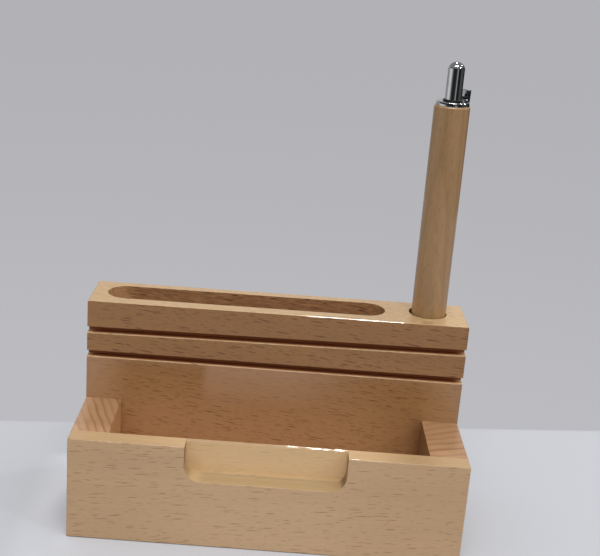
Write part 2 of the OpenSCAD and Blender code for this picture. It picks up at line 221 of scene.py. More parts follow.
def wood_figure() -> bpy.types.ShaderNodeTree:
    """Builds the figure of beech that every wooden piece shares.

    Returns:
        A group that gives flecks, pores, fibres, mottling, growth rings, and where end and edge grain show.
    """
    graph = Graph.group(
        "wood_figure",
        {"Place": "Vector", "Facing": "Vector", "Mottle size": "Vector", "Pith": "Vector",
         "Ring width": "Float", "Fleck share": "Float"},
        ("Fleck", "Pore", "Fibre", "Mottle", "Ring", "End", "Edge"))
    source = graph.source
    raw = graph.vector("MULTIPLY", source["Place"], (1000.0, 1000.0, 1000.0))
    sway = graph.noise(graph.vector("DIVIDE", raw, (38.0, 13.0, 16.0)))
    drift = graph.math("MULTIPLY", graph.math("SUBTRACT", sway, 0.5), 2.2)
    place = graph.vector("ADD", raw, graph.join(0.0, drift, drift))
    facing = graph.vector("ABSOLUTE", source["Facing"])
    along, across, deep = graph.split(facing)
    end = graph.ease(along, 0.55, 0.85)
    large = fleck_layer(graph, place, (6.0, 1.0, 7.0), (2.2, 0.185, 3.0), source["Fleck share"])
    moved = graph.vector("ADD", place, (31.7, 17.3, 5.9))
    small = fleck_layer(graph, moved, (3.6, 0.75, 4.6), (1.3, 0.13, 1.8), source["Fleck share"])
    flecks = graph.math("MAXIMUM", large, graph.math("MULTIPLY", small, 0.75))
    shown = graph.ease(deep, 0.2, 0.8)
    flecks = graph.math("MULTIPLY", flecks, graph.math("MULTIPLY", shown, graph.math("SUBTRACT", 1.0, end)))
    fibre = graph.noise(graph.vector("DIVIDE", place, (17.0, 0.3, 0.45)), detail=3.0, rough=0.6)
    pore = graph.ease(graph.noise(graph.vector("DIVIDE", place, (2.2, 0.5, 0.5)), detail=1.0), 0.53, 0.7)
    mottle = graph.noise(graph.vector("DIVIDE", place, source["Mottle size"]), detail=2.0)
    from_pith = graph.vector("MULTIPLY", graph.vector("SUBTRACT", place, source["Pith"]), (0.0, 1.0, 1.0))
    wobble = graph.noise(graph.vector("DIVIDE", raw, (60.0, 9.0, 9.0)), detail=1.0)
    count = graph.math("DIVIDE", graph.vector("LENGTH", from_pith), source["Ring width"])
    rings = graph.math("MULTIPLY_ADD", wobble, 0.5, count)
    phase = graph.math("FRACT", rings)
    ring = graph.math("MULTIPLY", graph.ease(phase, 0.4, 0.86), graph.ease(phase, 0.9, 1.0, 1.0, 0.0))
    year = graph.node("ShaderNodeTexWhiteNoise", noise_dimensions="1D")
    graph.put(graph.math("FLOOR", rings), year.inputs["W"])
    ring = graph.math("MULTIPLY", ring, graph.math("MULTIPLY_ADD", year.outputs["Value"], 0.8, 0.45))
    results = {"Fleck": flecks, "Pore": pore, "Fibre": fibre, "Mottle": mottle, "Ring": ring, "End": end,
               "Edge": graph.ease(across, 0.08, 0.6)}
    for label, value in results.items():
        graph.put(value, graph.sink[label])
    return graph.tree


def smudges() -> bpy.types.ShaderNodeTree:
    """Builds the faint handling marks that dull polished metal and plastic.

    Returns:
        A group that gives one mask.
    """
    graph = Graph.group("smudges", {"Place": "Vector", "Size": "Float"}, ("Mask",))
    place = graph.vector("DIVIDE", graph.vector("MULTIPLY", graph.source["Place"], (1000.0,) * 3),
                         graph.join(graph.source["Size"], graph.source["Size"], graph.source["Size"]))
    broad = graph.noise(place, 1.0, 3.0, 0.6)
    fine = graph.noise(graph.vector("MULTIPLY", place, (9.0, 9.0, 2.0)), 1.0, 2.0)
    mask = graph.math("MULTIPLY", graph.ease(broad, 0.4, 0.7), graph.ease(fine, 0.3, 0.7))
    graph.put(mask, graph.sink["Mask"])
    return graph.tree


FIGURE = wood_figure()
SMUDGES = smudges()


class Grain(Enum):
    """Which way the wood's fibres run, as the turn that brings them onto the X axis."""

    ALONG_X = (math.pi / 2, 0.0, 0.0)
    UPRIGHT = (0.0, math.pi / 2, 0.0)


@dataclass(frozen=True)
class Finish:
    """What every finish has: a name and a way to build its material."""

    name: str

    def start(self) -> tuple[Graph, Node, Material]:
        """Makes an empty material.

        Returns:
            Its graph, its Principled node and the material.
        """
        material = bpy.data.materials.new(self.name)
        material.use_nodes = True
        graph = Graph(material.node_tree)
        return graph, material.node_tree.nodes["Principled BSDF"], material

    def material(self) -> Material:
        """Builds the material."""
        raise NotImplementedError


@dataclass(frozen=True)
class Patch:
    """A soft place on a board where its tone differs: some patches are the board's own tone, and some paint
    light, shade or sheen onto it.

    It fades in and out across and up the board between four places in millimetres, and ends at a depth. A
    veil also covers the flecks.
    """

    across: tuple[float, float, float, float]
    up: tuple[float, float, float, float]
    back: float
    tone: Colour
    share: float
    veil: bool = False

    def over(self, graph: Graph, place: Socket, board: Socket) -> Socket:
        """Lays the patch over a board's colour.

        Args:
            graph: The material's graph.
            place: Object coordinates.
            board: Colour of the wood.

        Returns:
            The colour with the patch.
        """
        x, y, z = graph.split(graph.vector("DIVIDE", place, (MM, MM, MM)))
        mask = graph.ease(y, self.back, self.back + 0.2, self.share, 0.0)
        for value, (start, full, fade, end) in ((x, self.across), (z, self.up)):
            mask = graph.math("MULTIPLY", mask, graph.ease(value, start, full))
            mask = graph.math("MULTIPLY", mask, graph.ease(value, fade, end, 1.0, 0.0))
        return graph.mix(mask, board, self.tone)


@dataclass(frozen=True)
class WoodFinish(Finish):
    """Lacquered beech, one board of it."""

    pale: Colour
    deep: Colour
    edge: Colour
    fleck: Colour
    grain: Grain = Grain.ALONG_X
    offset: Triple = (0.0, 0.0, 0.0)
    slope: float = 0.0
    mottle_size: Triple = (80.0, 10.0, 16.0)
    pith: Triple = (0.0, 0.0, 90.0)
    ring_width: float = 2.8
    ring_strength: float = 0.05
    end_rings: float = 0.42
    fleck_strength: float = 0.75
    fleck_share: float = 0.62
    pore_strength: float = 0.2
    fibre_strength: float = 0.16
    end_shade: float = 0.8
    roughness: float = 0.42
    coat: float = 0.45
    coat_roughness: float = 0.08
    beads: float | None = None
    kerf_scorch_and_shade: Triple | None = None
    patches: tuple[Patch, ...] = ()

    def material(self) -> Material:
        """Builds the board's material.

        Returns:
            The finished material.
        """
        graph, surface, material = self.start()
        coordinates = graph.node("ShaderNodeTexCoord").outputs
        figure = self.figure(graph, coordinates)
        graph.put(self.tone(graph, coordinates["Object"], figure), surface.inputs["Base Color"])
        self.lacquer(graph, surface, coordinates["Object"], figure)
        return material

    def figure(self, graph: Graph, coordinates: Sockets) -> Sockets:
        """Lays the shared figure of the wood along this board's grain.

        Args:
            graph: The material's graph.
            coordinates: Outputs of its Texture Coordinate node.

        Returns:
            The figure's outputs.
        """
        turn = Vector(self.grain.value) + Vector((0.0, 0.0, self.slope))
        place = graph.node("ShaderNodeMapping", vector_type="POINT")
        graph.put(coordinates["Object"], place.inputs["Vector"])
        place.inputs["Location"].default_value = self.offset
        place.inputs["Rotation"].default_value = turn
        facing = graph.node("ShaderNodeMapping", vector_type="VECTOR")
        graph.put(coordinates["Normal"], facing.inputs["Vector"])
        facing.inputs["Rotation"].default_value = turn
        figure = graph.node("ShaderNodeGroup", node_tree=FIGURE)
        for label, value in {"Place": place.outputs[0], "Facing": facing.outputs[0], "Pith": self.pith,
                             "Mottle size": self.mottle_size, "Ring width": self.ring_width,
                             "Fleck share": self.fleck_share}.items():
            graph.put(value, figure.inputs[label])
        return figure.outputs

    def tone(self, graph: Graph, place: Socket, figure: Sockets) -> Socket:
        """Colours the board with its figure, its patches, which in places paint light, shade and sheen, and
        the scorched tone of a kerf, which also paints shade there.

        Args:
            graph: The material's graph.
            place: Object coordinates.
            figure: Outputs of the shared figure.

        Returns:
            The board's colour.
        """
        board = graph.mix(graph.ease(figure["Mottle"], 0.3, 0.7), self.pale, self.deep)
        board = graph.mix(graph.math("MULTIPLY", figure["Edge"], 0.9), board, self.edge)
        board = self.patched(graph, place, board, False)
        board = graph.mix(graph.math("MULTIPLY", figure["End"], 1.0 - self.end_shade), board, self.fleck)
        rings = graph.math("MULTIPLY_ADD", figure["End"], self.end_rings, self.ring_strength)
        board = graph.mix(graph.math("MULTIPLY", figure["Ring"], rings), board, self.fleck)
        fibre = self.fibre_strength
        shade = graph.math("MULTIPLY_ADD", figure["Fibre"], -fibre, 1.0 + fibre / 2)
        board = graph.mix(1.0, board, graph.join(shade, shade, shade), "MULTIPLY")
        for label, strength in (("Pore", self.pore_strength), ("Fleck", self.fleck_strength)):
            board = graph.mix(graph.math("MULTIPLY", figure[label], strength), board, self.fleck)
        board = self.patched(graph, place, board, True)
        return self.scorch_and_shade(graph, place, board, figure["Edge"]) if self.kerf_scorch_and_shade else board

    def patched(self, graph: Graph, place: Socket, board: Socket, veil: bool) -> Socket:
        """Lays the patches over the board's colour: the veils, or those that the flecks show through."""
        for patch in self.patches:
            if patch.veil == veil:
                board = patch.over(graph, place, board)
        return board

    def lacquer(self, graph: Graph, surface: Node, place: Socket, figure: Sockets) -> None:
        """Sets the board's gloss, its fine relief and its lacquer, which stands in beads on a sanded facet.

        Args:
            graph: The material's graph.
            surface: Its Principled node.
            place: Object coordinates.
            figure: Outputs of the shared figure.
        """
        rough = graph.math("MULTIPLY_ADD", figure["Fibre"], 0.16, self.roughness)
        graph.put(graph.math("MULTIPLY_ADD", figure["Fleck"], 0.12, rough), surface.inputs["Roughness"])
        bump = graph.node("ShaderNodeBump")
        bump.inputs["Strength"].default_value = 0.25
        bump.inputs["Distance"].default_value = 0.06 * MM
        height = graph.math("MULTIPLY_ADD", figure["Fleck"], -0.3, figure["Fibre"])
        graph.put(height, bump.inputs["Height"])
        graph.put(bump.outputs[0], surface.inputs["Normal"])
        surface.inputs["Coat Weight"].default_value = self.coat
        surface.inputs["Coat Roughness"].default_value = self.coat_roughness
        if self.beads is not None:
            fine = graph.noise(place, 1.6 / MM, 1.0)
            broad = graph.noise(place, 0.2 / MM, 1.0)
            wet = graph.math("MULTIPLY_ADD", broad, 0.5, graph.math("SUBTRACT", fine, 0.25))
            coat = graph.ease(wet, self.beads, self.beads + 0.07, 0.0, self.coat)
            graph.put(coat, surface.inputs["Coat Weight"])

    def scorch_and_shade(self, graph: Graph, place: Socket, board: Socket, level: Socket) -> Socket:
        """Darkens a saw kerf from its mouth inwards, its level faces most, but not at the ends of the block,
        as scorched wood and painted shade.

        Args:
            graph: The material's graph.
            place: Object coordinates.
            board: Colour of the wood.
            level: Where the kerf's faces lie level.

        Returns:
            The scorched colour with its painted shade.
        """
        mouth, reach, half = self.kerf_scorch_and_shade
        x, y, _ = graph.split(place)
        inside = graph.ease(y, mouth, mouth + reach)
        ends = graph.ease(graph.math("ABSOLUTE", x), half - 2.2 * MM, half - 0.7 * MM, 1.0, 0.0)
        # Scorched tones that also paint the kerf's shade: its walls redder, its level faces darker.
        scorched_and_shaded = graph.mix(level, srgb(196, 121, 70), srgb(160, 98, 57))
        return graph.mix(graph.math("MULTIPLY", inside, ends), board, scorched_and_shaded)


@dataclass(frozen=True)
class HandledFinish(Finish):
    """A smooth surface with faint handling marks."""

    colour: Colour
    roughness: float = 0.06
    smudge_size: float = 3.0
    dulling: float = 0.86
    unevenness: float = 0.08

    def marked(self) -> tuple[Node, Material]:
        """Builds the colour and the gloss with the marks in them.

        Returns:
            The Principled node and the material.
        """
        graph, surface, material = self.start()
        marks = graph.node("ShaderNodeGroup", node_tree=SMUDGES)
        graph.put(graph.node("ShaderNodeTexCoord").outputs["Object"], marks.inputs["Place"])
        graph.put(self.smudge_size, marks.inputs["Size"])
        mask = marks.outputs[0]
        dull = tuple(c * self.dulling for c in self.colour)
        graph.put(graph.mix(mask, self.colour, dull), surface.inputs["Base Color"])
        rough = graph.math("MULTIPLY_ADD", mask, self.unevenness, self.roughness)
        graph.put(rough, surface.inputs["Roughness"])
        return surface, material


@dataclass(frozen=True)
class MetalFinish(HandledFinish):
    """Plated or turned metal."""

    def material(self) -> Material:
        """Builds the metal."""
        surface, material = self.marked()
        surface.inputs["Metallic"].default_value = 1.0
        return material


@dataclass(frozen=True)
class PlasticFinish(HandledFinish):
    """Moulded plastic, which may let a little light through."""

    smudge_size: float = 4.0
    dulling: float = 0.9
    unevenness: float = 0.2
    through: float = 0.0

    def material(self) -> Material:
        """Builds the plastic."""
        surface, material = self.marked()
        surface.inputs["Subsurface Weight"].default_value = self.through
        surface.inputs["Subsurface Scale"].default_value = 0.5 * MM
        return material


class Bench:
    """Hand tools: thin wrappers round Blender's own operators."""

    @staticmethod
    def clear() -> None:
        """Leaves edit mode and deselects everything."""
        if bpy.context.mode != "OBJECT":
            bpy.ops.object.mode_set(mode="OBJECT")
        bpy.ops.object.select_all(action="DESELECT")

    @staticmethod
    def pick(piece: Piece) -> None:
        """Makes one object the only selected and active one."""
        Bench.clear()
        piece.select_set(True)
        bpy.context.view_layer.objects.active = piece

    @staticmethod
    def settle(piece: Piece) -> None:
        """Applies an object's place, turn and scale to its mesh."""
        Bench.pick(piece)
        bpy.ops.object.transform_apply(location=True, rotation=True, scale=True)

    @staticmethod
    def block(name: str, low: Sequence[float], high: Sequence[float]) -> Piece:
        """Adds a block between two corners.

        Args:
            name: Name of the piece.
            low: Its lowest corner.
            high: Its highest corner.

        Returns:
            The block, its place in its mesh.
        """
        Bench.clear()
        low, high = Vector(low), Vector(high)
        bpy.ops.mesh.primitive_cube_add(size=1.0, location=(low + high) / 2)
        piece = bpy.context.object
        piece.name = piece.data.name = name
        piece.scale = high - low
        Bench.settle(piece)
        return piece

    @staticmethod
    def bevel(piece: Piece, width: float, segments: int,
              test: Callable[[Edge], bool]) -> None:
        """Rounds the edges that pass a test.

        Args:
            piece: The object to work on.
            width: Width of the rounding.
            segments: Number of faces across it.
            test: Says whether an edge is rounded.
        """
        Bench.pick(piece)
        bpy.ops.object.mode_set(mode="EDIT")
        bpy.ops.mesh.select_mode(type="EDGE")
        bpy.ops.mesh.select_all(action="DESELECT")
        mesh = bmesh.from_edit_mesh(piece.data)
        mesh.normal_update()
        for edge in [edge for edge in mesh.edges if test(edge)]:
            edge.select_set(True)
        bmesh.update_edit_mesh(piece.data)
        bpy.ops.mesh.bevel(offset=width, offset_type="OFFSET", segments=segments, profile=0.5,
                           affect="EDGES", clamp_overlap=True)
        bpy.ops.object.mode_set(mode="OBJECT")

    @staticmethod
    def sharp(edge: Edge, angle: float = 50.0) -> bool:
        """Says whether an edge is convex and turns by more than an angle in degrees."""
        return len(edge.link_faces) == 2 and edge.is_convex and edge.calc_face_angle() > math.radians(angle)

    @staticmethod
    def modify(piece: Piece, kind: str, **settings: object) -> None:
        """Adds a modifier, sets it and applies it."""
        Bench.pick(piece)
        modifier = piece.modifiers.new(kind.lower(), kind)
        for key, value in settings.items():
            setattr(modifier, key, value)
        bpy.ops.object.modifier_apply(modifier=modifier.name)

    @staticmethod
    def combine(piece: Piece, other: Piece, operation: str = "DIFFERENCE") -> None:
        """Cuts a piece with another, joins them or keeps what they share, and discards the other."""
        Bench.modify(piece, "BOOLEAN", object=other, operation=operation, solver="EXACT")
        bpy.data.objects.remove(other, do_unlink=True)

    @staticmethod
    def sander(span: Point, back: float, top: float, lean: float) -> Piece:
        """Makes the waste of a narrow facet that was sanded along a top edge.

        Args:
            span: Where it starts and ends along X.
            back: How far back the facet reaches.
            top: Height of the top face.
            lean: How far the facet leans forward, in degrees.

        Returns:
            A block that leans forward by the facet's angle.
        """
        waste = Bench.block("sander", (span[0], -10 * MM, 0.0), (span[1], 2 * MM, 5 * MM))
        waste.rotation_euler.x = math.radians(lean)
        waste.location += Vector((0.0, back, top))
        Bench.settle(waste)
        return waste

    @staticmethod
    def turned(name: str, profile: Sequence[Point], steps: int = 96,
               closed: bool = False) -> Piece:
        """Turns a profile on the Z axis.

        Args:
            name: Name of the piece.
            profile: Radius and height of each ring, in order; a last radius of 0 closes in a point.
            steps: Faces round the axis.
            closed: Whether the last ring joins the first, as in a sleeve.

        Returns:
            The turned piece about the Z axis.
        """
        Bench.clear()
        radius, height = profile[0]
        bpy.ops.mesh.primitive_circle_add(vertices=steps, radius=radius, location=(0.0, 0.0, height))
        piece = bpy.context.object
        piece.name = piece.data.name = name
        Bench.settle(piece)
        bpy.ops.object.mode_set(mode="EDIT")
        bpy.ops.mesh.select_mode(type="EDGE")
        bpy.ops.mesh.select_all(action="SELECT")
        if not closed:
            bpy.ops.mesh.edge_face_add()
        for r, z in list(profile[1:]) + ([profile[0]] if closed else []):
            bpy.ops.mesh.extrude_edges_move(TRANSFORM_OT_translate={"value": (0.0, 0.0, z - height)})
            bpy.ops.transform.resize(value=(r / radius, r / radius, 1.0), center_override=(0.0, 0.0, z))
            radius, height = max(r, 1e-9), z
        Bench.heal(piece)
        return piece

    @staticmethod
    def heal(piece: Piece, gap: float = 1e-7) -> None:
        """Merges a piece's points that are nearer than a gap and turns its faces outwards."""
        Bench.pick(piece)
        bpy.ops.object.mode_set(mode="EDIT")
        bpy.ops.mesh.select_all(action="SELECT")
        bpy.ops.mesh.remove_doubles(threshold=gap)
        bpy.ops.mesh.dissolve_degenerate(threshold=gap)
        bpy.ops.mesh.select_all(action="SELECT")
        bpy.ops.mesh.normals_make_consistent(inside=False)
        bpy.ops.object.mode_set(mode="OBJECT")

    @staticmethod
    def finish(piece: Piece, angle: float = 38.0) -> None:
        """Clears slivers from a piece, shades it smooth up to an angle and keeps its flat faces flat."""
        Bench.heal(piece)
        bpy.ops.object.shade_smooth_by_angle(angle=math.radians(angle))
        Bench.modify(piece, "WEIGHTED_NORMAL", keep_sharp=True, weight=80)

    @staticmethod
    def dress(piece: Piece, finishes: Sequence[Material],
              choose: Callable[[Vector, Vector], int] | None = None) -> None:
        """Gives a piece its materials.

        Args:
            piece: The object to dress.
            finishes: Its materials in order.
            choose: Picks a material's number by a face's middle and normal.
        """
        piece.data.materials.clear()
        for finish in finishes:
            piece.data.materials.append(finish)
        if choose:
            for polygon in piece.data.polygons:
                polygon.material_index = choose(polygon.center, polygon.normal)

    @staticmethod
    def deliver(piece: Piece, body: str, node: str, slot: str) -> None:
        """Hands a finished piece to the frame."""
        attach(piece, body)
        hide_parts(node)
        LOG.info("%s: %d faces on %s", piece.name, len(piece.data.polygons), body)

    @staticmethod
    def complete(piece: Piece, finish: Material, body: str, node: str, slot: str,
                 angle: float = 38.0) -> None:
        """Smooths a piece that has one finish, dresses it and hands it to the frame."""
        Bench.finish(piece, angle)
        Bench.dress(piece, (finish,))
        Bench.deliver(piece, body, node, slot)


def on_planes(edge: Edge, low: Vector, high: Vector, spare: Sequence[str] = ()) -> bool:
    """Says whether an edge is an outer edge of a box.

    Args:
        edge: The edge to test.
        low: The box's lowest corner.
        high: The box's highest corner.
        spare: Planes that don't count, such as "-y".

    Returns:
        True where both its ends lie on the same two outer planes.
    """
    found = 0
    for axis, name in enumerate("xyz"):
        for sign, value in (("-", low[axis]), ("+", high[axis])):
            if sign + name not in spare and all(abs(v.co[axis] - value) < TOUCH for v in edge.verts):
                found += 1
    return found >= 2


def arc(centre: Point, radius: float, start: float, end: float, steps: int) -> list[Point]:
    """Gives the points of an arc in a profile that is turned.

    Args:
        centre: Distance from the axis and height of its centre.
        radius: Its radius.
        start: Angle of its first point in radians, 0 away from the axis and a quarter turn upwards.
        end: Angle of its last point.
        steps: Number of lines that it is made of.

    Returns:
        Its points in order.
    """
    angles = [start + (end - start) * i / steps for i in range(steps + 1)]
    return [(centre[0] + radius * math.cos(a), centre[1] + radius * math.sin(a)) for a in angles]


@dataclass
class RearBlock:
    """The tall block at the back, with its slot, its pen hole and two saw kerfs."""

    slot_length: float = 89.5 * MM
    slot_width: float = 12.0 * MM
    slot_depth: float = 30.0 * MM
    slot_inset: float = 4.8 * MM
    slot_setback: float = 10.6 * MM
    hole_width: float = 12.0 * MM
    hole_place: Point = (48.2 * MM, 16.3 * MM)
    hole_floor: float = 8.0 * MM
    lead_width: float = 3.6 * MM
    lead_depth: float = 5.0 * MM
    kerf_height: float = 2.1 * MM
    kerf_depth: float = 3.2 * MM
    kerf_drops: Point = (8.1 * MM, 16.9 * MM)
    kerf_rises: Point = (1.0 * MM, -0.5 * MM)
    edge: float = 0.4 * MM
    rim: float = 0.12 * MM
    lip: float = 0.36 * MM
    facet: float = 0.3 * MM
    lean: float = 19.4

    def __post_init__(self) -> None:
        """Reads the block's place from the frame and works out where its slot starts."""
        self.low, self.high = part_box("rear_block")
        self.slot_left = self.low.x + self.slot_inset
        self.slot_near = self.low.y + self.slot_setback - self.slot_width / 2

    def build(self) -> Piece:
        """Models the block.

        Returns:
            The block's object.
        """
        low, high = self.low, self.high
        block = Bench.block("rear_block_wood", low, high)
        Bench.bevel(block, self.edge, 7, self.is_outer)
        for drop, rise in zip(self.kerf_drops, self.kerf_rises):
            Bench.combine(block, self.kerf(drop, rise))
        Bench.bevel(block, self.lip, 7, self.is_lip)
        Bench.combine(block, Bench.sander((low.x - MM, high.x + MM), low.y + self.facet, high.z, self.lean))
        Bench.combine(block, self.slot())
        Bench.combine(block, self.drill(self.hole_width, self.hole_floor))
        Bench.combine(block, self.drill(self.lead_width, self.hole_floor - self.lead_depth))
        Bench.bevel(block, self.rim, 3, lambda edge: Bench.sharp(edge)
                    and all(v.co.z > high.z - 0.01 * MM for v in edge.verts))
        Bench.finish(block, 14.0)
        return block

    def is_outer(self, edge: Edge) -> bool:
        """Says whether an outer edge is rounded, as all are but those beside and above the kerfs."""
        in_front = all(abs(v.co.y - self.low.y) < TOUCH for v in edge.verts)
        at_foot = all(v.co.z < self.low.z + MM for v in edge.verts)
        return on_planes(edge, self.low, self.high) and (at_foot or not in_front)

    def is_lip(self, edge: Edge) -> bool:
        """Says whether an edge is the lower lip of a kerf."""
        in_front = all(abs(v.co.y - self.low.y) < TOUCH and v.co.z < self.high.z - MM for v in edge.verts)
        return in_front and any(face.normal.z > 0.9 for face in edge.link_faces)

    def kerf(self, drop: float, rise: float) -> Piece:
        """Makes the waste of one saw kerf, which climbs a little across the block."""
        half = (self.high.x - self.low.x) / 2
        saw = Bench.block("saw", (-half - OVERCUT, self.low.y - OVERCUT, -self.kerf_height / 2),
                          (half + OVERCUT, self.low.y + self.kerf_depth, self.kerf_height / 2))
        saw.rotation_euler.y = -math.atan(rise / (2 * half))
        saw.location.z = self.high.z - drop - self.kerf_height / 2
        Bench.settle(saw)
        return saw

    def slot(self) -> Piece:
        """Makes the waste of the long slot, with half-round ends."""
        cutter = Bench.block("router", (self.slot_left, self.slot_near, self.high.z - self.slot_depth),
                             (self.slot_left + self.slot_length, self.slot_near + self.slot_width,
                              self.high.z + OVERCUT))
        Bench.bevel(cutter, self.slot_width / 2 - TOUCH, 20,
                    lambda edge: abs(edge.verts[0].co.z - edge.verts[1].co.z) > MM)
        Bench.heal(cutter, 10 * TOUCH)
        return cutter

    def drill(self, width: float, floor: float) -> Piece:
        """Makes the waste of a round hole for the pen, from the block's top down to a floor."""
        top = self.high.z + OVERCUT
        waste = Bench.turned("drill", [(width / 2, floor), (width / 2, top), (0.0, top)])
        waste.location = (*self.hole_place, 0.0)
        Bench.settle(waste)
        return waste

    def dress(self, block: Piece, finishes: Sequence[Material]) -> None:
        """Gives the block its wood, scorched and painted with shade in the kerfs, rough in the slot and
        beaded along the facet.
        """
        top = self.high.z - self.kerf_drops[0] + 1.2 * MM
        foot = self.high.z - self.kerf_drops[1] - self.kerf_height - 1.2 * MM
        back = self.low.y + self.kerf_depth + 0.1 * MM
        left, near, spare = self.slot_left, self.slot_near, 0.02 * MM

        def choose(centre: Vector, normal: Vector) -> int:
            """Picks the kerf's wood, scorched and painted with shade, the beads on the facet and the rough
            wood of the slot.
            """
            if centre.z > self.high.z - MM and normal.z > 0.9 and normal.y < -0.2:
                return 2
            if (near - spare < centre.y < near + self.slot_width + spare
                    and left - spare < centre.x < left + self.slot_length + spare
                    and self.high.z - self.slot_depth - 0.1 * MM < centre.z < self.high.z - 0.2 * MM):
                return 3
            inside = foot < centre.z < top and self.low.y + 0.25 * MM < centre.y < back
            flat = abs(normal.z) > 0.7 or (normal.y < -0.7 and centre.y > back - 0.4 * MM)
            return int(inside and flat)

        Bench.dress(block, finishes, choose)
        Bench.deliver(block, "stand", "rear_block", "beech")


@dataclass
class FrontPanel:
    """The low front board with its finger recess."""

    recess_width: float = 48.8 * MM
    recess_drop: float = 11.2 * MM
    recess_depth: float = 5.0 * MM
    recess_corner: float = 5.0 * MM
    recess_cove: float = 1.4 * MM
    recess_shift: float = -0.6 * MM
    edge: float = 0.4 * MM
    rim: float = 0.12 * MM
    facet: float = 0.75 * MM
    lean: float = 15.8

    def __post_init__(self) -> None:
        """Reads the board's place from the frame and works out the recess's sides, foot and back."""
        self.low, self.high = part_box("front_panel")
        self.left = self.recess_shift - self.recess_width / 2
        self.right = self.left + self.recess_width
        self.foot = self.high.z - self.recess_drop
        self.back = self.low.y + self.recess_depth

    def build(self) -> Piece:
        """Models the board.

        Returns:
            The board's object.
        """
        panel = Bench.block("front_panel_wood", self.low, self.high)
        Bench.bevel(panel, self.edge, 7, lambda edge: on_planes(edge, self.low, self.high, ("+y",)))
        Bench.combine(panel, self.recess())
        Bench.combine(panel, Bench.sander((self.left, self.right), self.back + self.facet,
                                          self.high.z, self.lean))
        Bench.bevel(panel, self.rim, 3, Bench.sharp)
        Bench.finish(panel, 14.0)
        return panel

    def recess(self) -> Piece:
        """Makes the waste of the finger recess: round lower corners and a cove along the foot of its back."""
        cutter = Bench.block("recess_outline", (self.left, self.low.y - OVERCUT, self.foot),
                             (self.right, self.back + OVERCUT, self.high.z + OVERCUT))
        Bench.bevel(cutter, self.recess_corner, 14,
                    lambda edge: all(v.co.z < self.foot + TOUCH for v in edge.verts)
                    and abs(edge.verts[0].co.y - edge.verts[1].co.y) > MM)
        section = Bench.block("recess_section", (self.left - OVERCUT, self.low.y - 2 * OVERCUT, self.foot),
                              (self.right + OVERCUT, self.back, self.high.z + 2 * OVERCUT))
        Bench.bevel(section, self.recess_cove, 8, lambda edge: all(
            v.co.z < self.foot + TOUCH and v.co.y > self.back - TOUCH for v in edge.verts))
        Bench.combine(cutter, section, "INTERSECT")
        return cutter

    def dress(self, panel: Piece, finishes: Sequence[Material]) -> None:
        """Gives the board its wood, paler where the recess was cut and beaded along the sanded facet."""
        spare = 0.01 * MM

        def choose(centre: Vector, normal: Vector) -> int:
            """Picks the pale cut in the recess and the beaded lacquer on the facet."""
            if centre.z > self.high.z - MM and normal.z > 0.9 and normal.y < -0.2:
                return 2
            return int(self.left - spare < centre.x < self.right + spare
                       and self.foot - spare < centre.z < self.high.z - 0.05 * MM
                       and self.low.y + 0.2 * MM < centre.y < self.back + 0.05 * MM)

        Bench.dress(panel, finishes, choose)
        Bench.deliver(panel, "stand", "front_panel", "beech")


@dataclass
class Tray:
    """The two side blocks and the floor between them."""

    edge: float = 0.4 * MM
    rim: float = 0.1 * MM

    def side(self, node: str, inner: str, finish: Material) -> None:
        """Models and dresses one side block.

        Args:
            node: Name of the CAD node that the block stands for.
            inner: The plane on the tray's side, "+x" or "-x".
            finish: Its wood.
        """
        low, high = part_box(node)
        block = Bench.block(f"{node}_wood", low, high)
        Bench.bevel(block, self.edge, 4, lambda edge: on_planes(edge, low, high, (inner, "-y", "+y")))
        Bench.bevel(block, self.rim, 2, Bench.sharp)
        Bench.complete(block, finish, "stand", node, "beech")

    def floor(self, finish: Material) -> None:
        """Models and dresses the floor board."""
        low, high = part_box("tray_floor")
        board = Bench.block("tray_floor_wood", low, high)
        Bench.bevel(board, self.rim, 2, Bench.sharp)
        Bench.complete(board, finish, "stand", "tray_floor", "beech")


